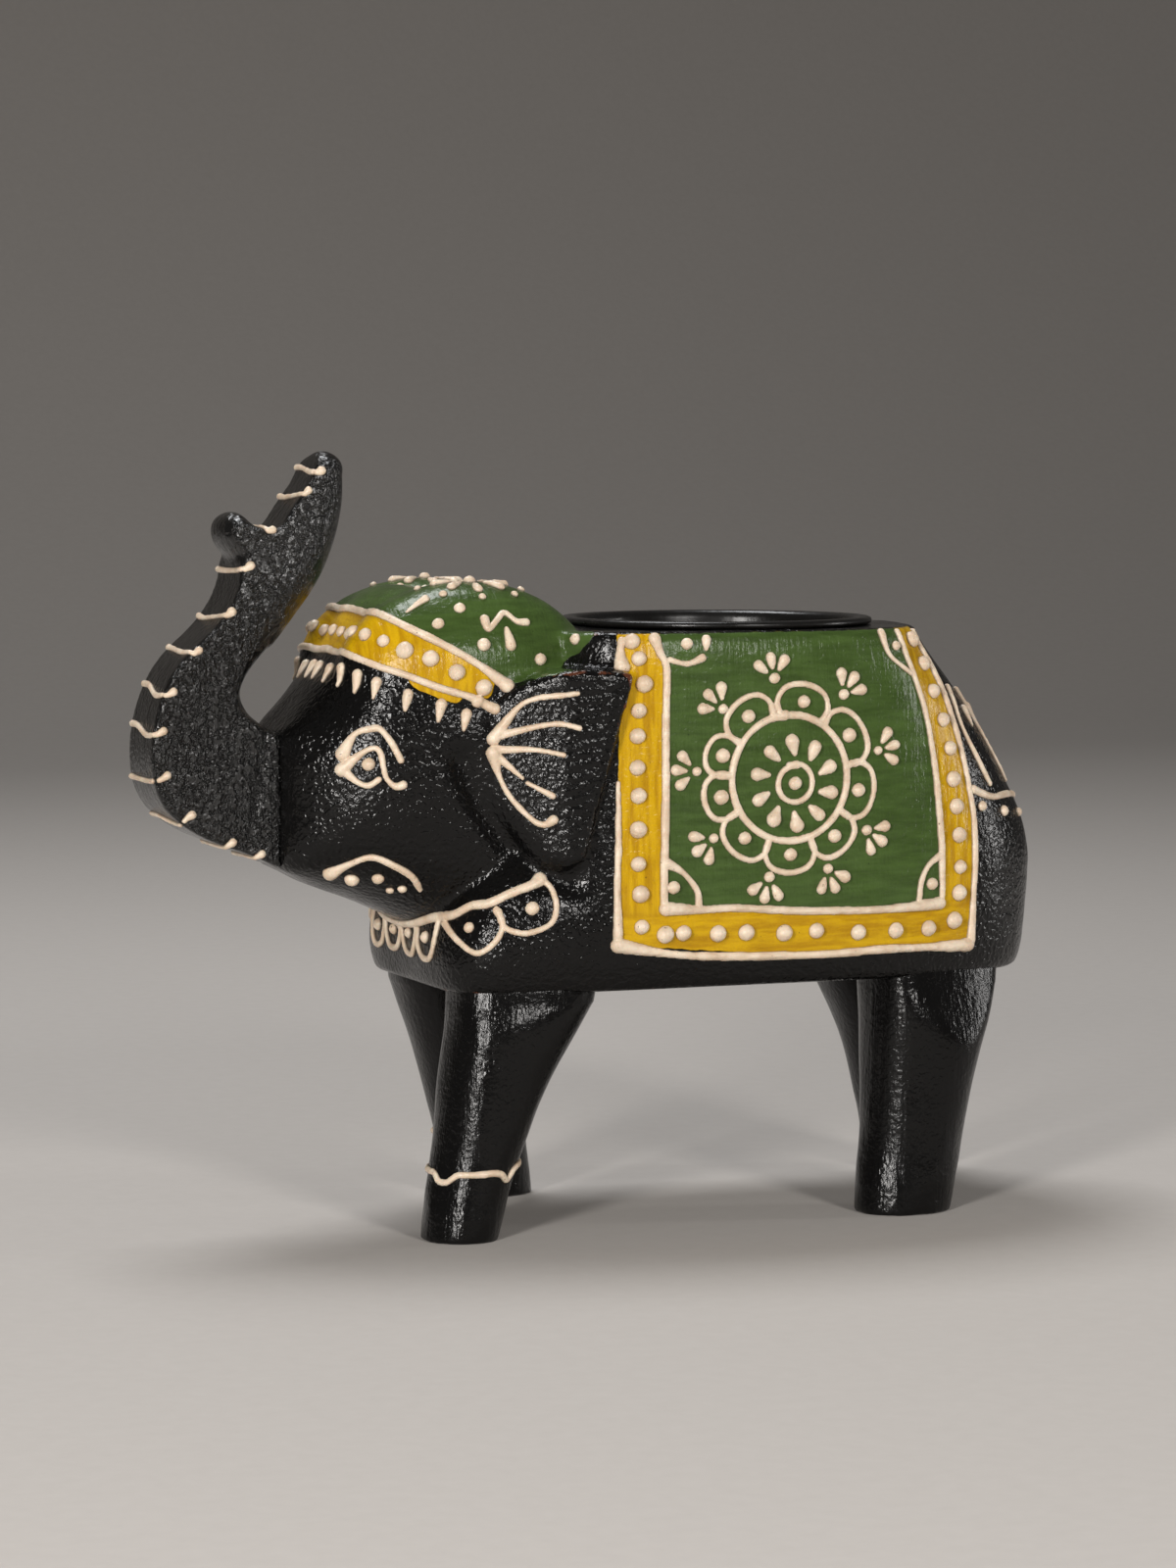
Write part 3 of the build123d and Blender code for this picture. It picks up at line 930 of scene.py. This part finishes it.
def squeeze(piping, voxel=0.2, unevenness=0.35):
    """Turns a set of strokes into one mesh of paste that rides with the figure."""
    strokes = bpy.data.meshes.new(piping.name)
    strokes.from_pydata(piping.points, piping.links, [])
    store(strokes, "bead", np.array(piping.beads))
    piece = new_object(piping.name, strokes)
    node_modifier = piece.modifiers.new("squeezed paste", "NODES")
    node_modifier.node_group = PASTE_TREE
    settings = {"Skin": piping.skin, "Step": 0.25, "Voxel": voxel, "Unevenness": unevenness,
                "Seed": float(piping.seed), "Paste": PASTE}
    for label, value in settings.items():
        node_modifier[PASTE_INPUT[label]] = value
    evaluated = piece.evaluated_get(bpy.context.evaluated_depsgraph_get())
    piece.data = bpy.data.meshes.new_from_object(evaluated)
    piece.modifiers.clear()
    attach(piece, "elephant")
    print(piping.name, len(piece.data.polygons), "faces")
    return piece


print("piping ready")

# %% [markdown]
# **The saddle cloth's border.** Two cream lines run down the front edge, along the hem and up the rear
# edge, with a row of dots between them. The lines lean with the flank. Their corners and the dots are
# measured places: a separate projection program printed them, and they were then rounded, and some
# were moved a little. They keep the unevenness of the real border, which a formula would lose.

# %% Saddle border
BORDER_DOTS = [
    (-2.7, 85.0), (-1.9, 82.6), (-1.2, 79.0), (-2.0, 75.2), (-2.2, 71.6), (-2.3, 67.1), (-2.2, 63.1),
    (-2.3, 58.3), (-2.4, 53.4), (-2.1, 49.1), (-1.9, 44.4), (1.7, 43.2), (4.5, 43.3), (9.9, 43.0),
    (14.3, 43.0), (20.3, 42.7), (25.4, 42.8), (32.1, 42.3), (38.3, 42.3), (44.0, 42.3), (48.6, 43.2),
    (49.4, 47.2), (49.6, 51.0), (49.4, 55.7), (49.1, 59.9), (48.7, 63.9), (48.4, 68.4), (47.4, 72.6),
    (46.0, 76.8), (44.9, 80.8), (43.4, 84.3),
]


def border(paste):
    paste.line([(-4.0, 85.2), (-4.3, 83.2), (-4.3, 81.4)], 0.65, 0.8, 1.7)
    paste.line([(-5.0, 65.0), (-5.2, 57.0), (-5.5, 49.5), (-5.4, 42.6)], 0.5, 0.7, 1.6)
    paste.line([(-5.4, 41.9), (2.4, 40.4), (10.0, 39.7), (19.4, 39.4), (28.0, 39.3), (36.6, 39.6),
                (44.0, 39.5), (51.4, 39.4)], 0.62, 1.9, 1.6)
    paste.line([(51.9, 39.9), (52.2, 46.7), (52.5, 53.0), (52.3, 59.4), (50.8, 67.9), (48.4, 76.4),
                (44.6, 85.4)], 0.55, 1.4, 1.0)
    paste.line([(0.6, 85.4), (1.2, 83.4), (2.1, 81.0), (2.0, 74.0), (1.9, 62.7), (1.5, 49.3),
                (1.8, 47.2)], 0.58, 1.5, 1.3)
    paste.line([(1.8, 46.9), (7.0, 46.6), (12.7, 46.6), (18.0, 46.2), (23.5, 45.8), (36.2, 45.5),
                (46.0, 45.9)], 0.6, 1.6, 1.7)
    paste.line([(46.4, 46.4), (46.3, 53.4), (45.6, 64.0), (44.2, 73.2), (42.4, 79.2), (40.2, 85.6)], 0.52)
    for place in BORDER_DOTS:
        paste.dot(place, 1.15)


def corner_fans(paste):
    """A quarter round with a dot in each corner of the green field."""
    paste.line([(2.6, 82.4), (5.2, 81.8), (7.5, 82.6)], 0.45, 1.0, 1.3)
    paste.dot((5.2, 84.6), 0.85)
    paste.drop((8.3, 85.2), (8.1, 83.8), 0.75)
    paste.line([(36.9, 85.6), (38.0, 82.4), (41.8, 79.6)], 0.45, 1.5, 1.0)
    paste.dot((39.4, 83.6), 0.8)
    paste.line([(2.0, 53.4), (4.4, 52.0), (6.6, 49.4), (6.9, 47.2)], 0.5, 1.5, 1.0)
    paste.dot((2.9, 49.9), 0.95)
    paste.line([(46.2, 53.0), (44.0, 51.6), (42.7, 49.4), (42.3, 46.6)], 0.48, 1.3, 1.0)
    paste.dot((44.5, 48.8), 1.0)


print("border:", len(BORDER_DOTS), "dots a side")

# %% [markdown]
# **The mandala.** A wheel of rings, drops and petals fills the cloth, and it does follow a rule: all of
# it turns about one centre. Each ring is a loop of angles, with the painter's own uneven spacing for
# the nine petals kept as an angle, worked out from a measured place, and half a spread, which was
# settled by comparing renders.

# %% Mandala
WHEEL_CENTRE, HEART_CENTRE = (21.1, 65.1), (21.8, 64.3)
WHEEL_RADIUS, PETAL_REACH, DOT_REACH, SPRIG_REACH = 9.1, 13.6, 11.1, 15.6
PETAL_ANGLES = {126: 20, 79: 21, 32: 22, -11: 21, -51: 19, -90: 20, -130: 20, -167: 17, 162: 15}
SPRIG_ANGLES = (136, 100, 54, 14, -33, -66, -103, -145, 175)


def polar(centre, radius, degrees):
    turn = math.radians(degrees)
    return (centre[0] + radius * math.cos(turn), centre[1] + radius * math.sin(turn))


def wheel(paste):
    paste.dot(HEART_CENTRE, 0.95)
    paste.line([polar(HEART_CENTRE, 2.5 + a / 900, 80 + a) for a in range(0, 391, 30)], 0.45, 1.0, 0.8)
    for turn in range(90, 450, 36):
        paste.drop(polar(HEART_CENTRE, 6.1, turn + 4), polar(HEART_CENTRE, 4.3, turn), 1.0)
    paste.line([polar(WHEEL_CENTRE, WHEEL_RADIUS, 95 + a) for a in range(0, 361, 15)], 0.55, 1.5, 1.0)


def petals(paste):
    for middle, half in PETAL_ANGLES.items():
        bow = ((-half, 9.6), (-half, 11.4), (-0.7 * half, 13.0), (-0.25 * half, PETAL_REACH),
               (0.25 * half, PETAL_REACH), (0.7 * half, 13.0), (half, 11.4), (half, 9.6))
        paste.line([polar(WHEEL_CENTRE, reach, middle + turn) for turn, reach in bow], 0.46, 1.2, 1.2)
        paste.dot(polar(WHEEL_CENTRE, DOT_REACH, middle), 0.95)


def sprigs(paste):
    """Nine little buds outside the petals, each a dot with three drops fanned above it."""
    for middle in SPRIG_ANGLES:
        root = polar(WHEEL_CENTRE, SPRIG_REACH - 1.0, middle)
        paste.dot(root, 0.72)
        for lean in (-42, 0, 42):
            paste.drop(polar(root, 3.1, middle + lean), polar(root, 1.5, middle + lean), 0.82)


print("mandala:", len(PETAL_ANGLES), "petals and", len(SPRIG_ANGLES), "sprigs a side")

# %% [markdown]
# **Face, ear and jaw.** The eye is an outlined almond with a dot in it under a bent brow, the ear is
# ribbed with five strokes that start from two blobs at its root, and a bow with dots marks the jaw.

# %% Face strokes
def eye(paste):
    paste.line([(-42.8, 69.4), (-41.2, 72.2), (-39.2, 73.0), (-38.0, 72.9), (-36.6, 71.0), (-35.4, 68.6)],
               0.5, 2.0, 1.1)
    paste.line([(-43.0, 67.2), (-40.4, 69.6), (-38.9, 70.3), (-38.1, 69.6), (-37.7, 67.4), (-37.3, 66.0),
                (-36.2, 64.9), (-35.1, 65.1)], 0.45, 2.1, 1.4)
    paste.line([(-42.6, 67.0), (-41.2, 65.6), (-39.7, 65.0), (-38.3, 65.9)], 0.45, 1.6, 1.0)
    paste.dot((-39.7, 68.0), 1.05)


def ear_ribs(paste):
    paste.line([(-22.3, 71.4), (-19.2, 75.8), (-16.8, 77.2), (-14.0, 77.6), (-11.5, 77.9)], 0.45, 2.2, 0.8)
    paste.line([(-21.8, 71.8), (-16.8, 73.2), (-13.8, 73.6), (-11.3, 73.0)], 0.42, 1.6, 1.0)
    paste.line([(-21.9, 69.9), (-17.0, 69.9), (-13.4, 69.2)], 0.42, 1.6, 1.0)
    paste.line([(-21.6, 68.8), (-18.6, 65.9)], 0.42, 1.5, 0.8)
    paste.line([(-18.0, 65.2), (-14.8, 63.4)], 0.42, 0.9, 1.2)
    paste.line([(-22.3, 69.4), (-21.6, 66.4), (-20.4, 63.7), (-18.7, 61.4), (-17.0, 59.7), (-15.8, 59.3),
                (-14.7, 60.0)], 0.46, 2.3, 1.5)


def jaw(paste):
    paste.line([(-43.4, 52.2), (-41.4, 53.6), (-38.7, 54.7), (-35.6, 53.5), (-32.8, 51.8), (-31.2, 49.8)],
               0.55, 1.9, 0.8)
    paste.dot((-40.4, 51.3), 1.0)
    paste.dot((-37.2, 51.5), 0.95)
    paste.dot((-33.6, 49.9), 0.7)
    paste.dot((-35.4, -13.0, 49.0), 0.6)


print("face strokes ready")

# %% [markdown]
# **Forehead band and cap.** Two lines follow the mustard band right round the forehead, from ear to ear
# over both halves of the crown, so they are given as points in space that go to the nearest skin. The
# row of drops below hangs like a fringe, and the cap carries a scatter of drops and small strokes.

# %% Head strokes
BAND_UPPER = [(-20.0, -20.2, 78.8), (-23.2, -19.8, 81.2), (-26.4, -19.4, 83.2), (-30.9, -18.0, 85.8),
              (-34.2, -15.6, 87.8), (-36.4, -11.0, 89.2), (-36.8, -6.0, 89.4), (-36.0, 0.0, 88.9)]
BAND_LOWER = [(-21.4, -19.8, 75.4), (-25.5, -19.8, 77.4), (-29.7, -19.2, 78.7), (-34.3, -18.0, 80.5),
              (-37.7, -16.0, 81.7), (-40.4, -12.6, 83.0), (-41.6, -8.0, 83.9), (-41.2, -3.0, 83.9),
              (-40.6, 0.0, 83.8)]
BAND_DOTS = [(-23.6, -19.9, 78.7), (-27.5, -19.4, 80.9), (-31.0, -18.6, 82.8), (-34.4, -17.2, 84.0),
             (-36.8, -15.0, 85.2), (-38.6, -12.4, 86.0), (-39.6, -9.0, 86.6), (-39.8, -5.4, 86.6),
             (-39.2, -1.8, 86.4)]
FRINGE = [(-42.0, -1.4, 81.4), (-42.4, -5.8, 81.6), (-42.0, -10.2, 81.4), (-40.6, -13.8, 80.6),
          (-38.2, -16.0, 79.6), (-34.2, -18.2, 77.9), (-29.6, -19.2, 76.4), (-26.0, -19.7, 75.0)]


def mirrored(corners):
    """The same points carried on over the middle to the other side."""
    return corners + [(x, -y, z) for x, y, z in reversed(corners[:-1])]


def forehead(paste):
    paste.line(mirrored(BAND_UPPER), 0.6, 1.7, 1.7)
    paste.line(mirrored(BAND_LOWER), 0.55, 1.5, 1.5)
    for side in (1, -1):
        for x, y, z in BAND_DOTS:
            paste.dot((x, side * y, z), 1.2 if x > -35 else 0.9)
        for x, y, z in FRINGE:
            paste.drop((x, side * y, z), (x - 0.5, side * (y - 0.1), z - 2.3), 0.78)
        paste.dot((-24.4, side * -19.6, 76.8), 1.0)


def cap_flowers(paste):
    """Drops and strokes on one half of the crown."""
    paste.line([(-22.6, -17.6, 88.1), (-22.3, -18.4, 86.8), (-20.8, -17.4, 87.8), (-19.4, -16.8, 88.9),
                (-17.8, -17.3, 87.6), (-16.3, -17.1, 87.5)], 0.5, 1.5, 1.3)
    paste.drop((-19.3, -19.0, 84.4), (-19.6, -18.0, 86.6), 0.85)
    for place in ((-23.4, -19.5, 84.7), (-14.8, -18.8, 82.4), (-9.2, -19.0, 85.2), (-29.4, -17.2, 87.6),
                  (-25.9, -16.4, 89.8)):
        paste.dot(place, 0.85)
    paste.drop((-30.0, -13.6, 91.0), (-33.2, -14.4, 89.6), 0.65)
    heart = (-22.0, -9.6, 93.4)
    paste.dot(heart, 0.8)
    for turn in range(0, 360, 45):
        c, s = math.cos(math.radians(turn)), math.sin(math.radians(turn))
        paste.drop((heart[0] + 5.2 * c, heart[1] + 4.0 * s, 92.6),
                   (heart[0] + 2.6 * c, heart[1] + 2.0 * s, 93.4), 0.7)
        paste.dot((heart[0] + 7.6 * c, heart[1] + 5.6 * s, 91.5), 0.55)


print("fringe:", 2 * len(FRINGE), "drops")

# %% [markdown]
# **Necklace, trunk rings, anklets and rump.** A rope of paste with hanging scallops goes round the
# chest. Short strokes cross the trunk's front like the folds of its skin. Each front leg has an anklet
# with a small point at the middle of each face, which is a circle of angles round the leg. Behind the
# cloth a half lotus sits above the tail's place.

# %% Other strokes
def scallop(paste, corners, seed_dot):
    paste.line(corners, 0.48, 1.2, 1.2)
    paste.dot(seed_dot, 0.85)


def necklace(paste):
    paste.line([(-28.6, 0.0, 45.6), (-28.6, -6.0, 45.4), (-28.3, -12.1, 45.4), (-26.8, -17.0, 46.1),
                (-25.1, -19.4, 47.6), (-23.3, -21.2, 48.0), (-20.7, -22.4, 49.4), (-17.8, -23.4, 50.8),
                (-16.3, -23.8, 52.2)], 0.7, 0.8, 1.6)
    scallop(paste, [(-16.2, -23.8, 52.2), (-14.9, -24.3, 50.6), (-14.4, -24.7, 47.6), (-15.4, -24.7, 45.2),
                    (-18.8, -24.3, 44.0), (-21.6, -23.5, 44.8), (-22.2, -22.6, 47.0)], (-17.8, -24.0, 47.4))
    scallop(paste, [(-27.8, -15.6, 44.9), (-27.0, -19.6, 42.6), (-25.2, -22.0, 41.2), (-23.0, -23.2, 42.8),
                    (-21.9, -23.4, 45.2), (-22.5, -22.4, 47.2)], (-25.8, -20.4, 44.6))
    for middle in (-10.6, -3.6):
        scallop(paste, [(-28.6, middle - 3.4, 45.0), (-28.6, middle - 3.0, 41.6), (-28.6, middle - 1.4, 39.6),
                        (-28.6, middle + 1.4, 39.6), (-28.6, middle + 3.0, 41.6),
                        (-28.6, middle + 3.4, 45.0)],
                (-28.6, middle, 42.4))


def lotus(paste):
    """Half of the pattern over the rump."""
    paste.line([(52.6, -20.6, 62.2), (56.4, -18.6, 60.8), (60.0, -14.6, 60.6), (63.0, -8.0, 59.0),
                (64.6, 0.0, 57.4)], 0.5, 1.3, 1.0)
    for place in ((54.2, -20.3, 59.6), (58.6, -17.2, 58.4), (62.0, -12.4, 57.4), (64.6, -6.4, 55.6)):
        paste.dot(place, 0.75)
    paste.line([(49.6, -17.4, 77.0), (51.4, -18.8, 71.4),
                (53.6, -18.4, 66.8), (55.6, -17.2, 62.4)], 0.45, 1.2, 1.0)
    paste.line([(53.6, -12.6, 76.4), (56.6, -13.6, 71.0),
                (58.8, -12.8, 66.4), (60.2, -11.6, 62.0)], 0.45, 1.2, 1.0)
    paste.line([(56.6, -5.6, 75.6), (60.0, -7.0, 70.0),
                (61.8, -6.4, 64.6), (62.4, -5.4, 60.6)], 0.45, 1.2, 1.0)
    for place in ((53.0, -15.8, 73.6), (56.8, -10.4, 74.0), (58.6, -1.6, 73.0)):
        paste.drop(place, (place[0] + 1.2, place[1], place[2] - 2.6), 0.7)


TRUNK_RINGS = [
    ((-43.0, 109.2), (-43.4, 109.6)), ((-45.4, 106.2), (-46.0, 105.4)), ((-50.8, 101.2), (-50.4, 101.2)),
    ((-54.2, 95.4), (-55.4, 95.0)), ((-57.2, 88.9), (-58.2, 88.4)), ((-62.0, 83.5), (-62.6, 83.9)),
    ((-65.8, 77.7), (-66.0, 78.6)), ((-67.3, 72.2), (-67.8, 73.0)), ((-66.8, 65.9), (-67.4, 65.6)),
    ((-63.2, 60.2), (-64.4, 60.8)), ((-57.2, 56.1), (-57.6, 56.0)), ((-52.9, 54.3), (-52.9, 54.2)),
]


def trunk_rings(paste):
    for (near_x, near_z), (far_x, far_z) in TRUNK_RINGS:
        paste.line([(near_x + 0.7, -6.5, near_z + 0.5), (near_x - 0.1, -6.1, near_z),
                    (near_x - 0.4, -3.0, near_z - 0.3), (far_x, 2.0, far_z),
                    (far_x + 0.2, 5.4, far_z + 0.1)], 0.42, 1.5, 1.2)


def anklet(paste, centre, z):
    """A ring round a leg, dipping to a small point on the middle of each face."""
    ring = []
    for turn in range(0, 361, 12):
        dip = 1.5 * math.exp(-((((turn + 15) % 90) - 45) / 11) ** 2)
        c, s = math.cos(math.radians(turn)), math.sin(math.radians(turn))
        ring.append((centre[0] + 8 * c, centre[1] + 8 * s, z - dip))
    paste.line(ring, 0.5, 1.1, 1.1)


print("trunk rings:", len(TRUNK_RINGS))

# %% Squeezing every stroke
def decorate(name, skin, seed, *patterns, side=-1):
    paste = Piping(name, skin, side, seed)
    for pattern in patterns:
        pattern(paste)
    return squeeze(paste)


for side, label, seed in ((-1, "left", 11), (1, "right", 21)):
    decorate("paste_border_" + label, body, seed, border, corner_fans, side=side)
    decorate("paste_mandala_" + label, body, seed + 1, wheel, petals, sprigs, side=side)
    decorate("paste_face_" + label, body, seed + 2, eye, ear_ribs, jaw, side=side)
    decorate("paste_chest_rump_" + label, body, seed + 3, necklace, lotus, side=side)
    decorate("paste_cap_" + label, body, seed + 4, cap_flowers, side=side)
decorate("paste_forehead", body, 31, forehead)
decorate("paste_trunk", trunk, 32, trunk_rings)
decorate("paste_anklet_left", legs["front_left_leg"], 33, lambda p: anklet(p, (-24.2, -17.6), 10.0))
decorate("paste_anklet_right", legs["front_right_leg"], 34, lambda p: anklet(p, (-11.3, 17.4), 9.4))

# %% [markdown]
# ** Handing over.** Each finished piece rides on a body, and the CAD node it stands for is hidden.
# The floor gets a matt pale card so that it reflects nothing.

# %% Ride and replace
STANDS_FOR = {"body_block": body, "trunk": trunk, **legs}
for node, piece in STANDS_FOR.items():
    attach(piece, "elephant")
    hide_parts(node)
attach(cup, "cup")
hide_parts("tealight_cup")


def card():
    finish = Finish("pale card, floor")
    fibre = finish.grain((3.0, 3.0, 3.0), 4.0, 0.6)
    finish.feed(finish.shader.inputs["Base Color"],
                finish.mix(fibre, (0.50, 0.47, 0.44, 1), (0.55, 0.52, 0.49, 1)))
    finish.shader.inputs["Roughness"].default_value = 0.9
    return finish.material


floor.data.materials.append(card())
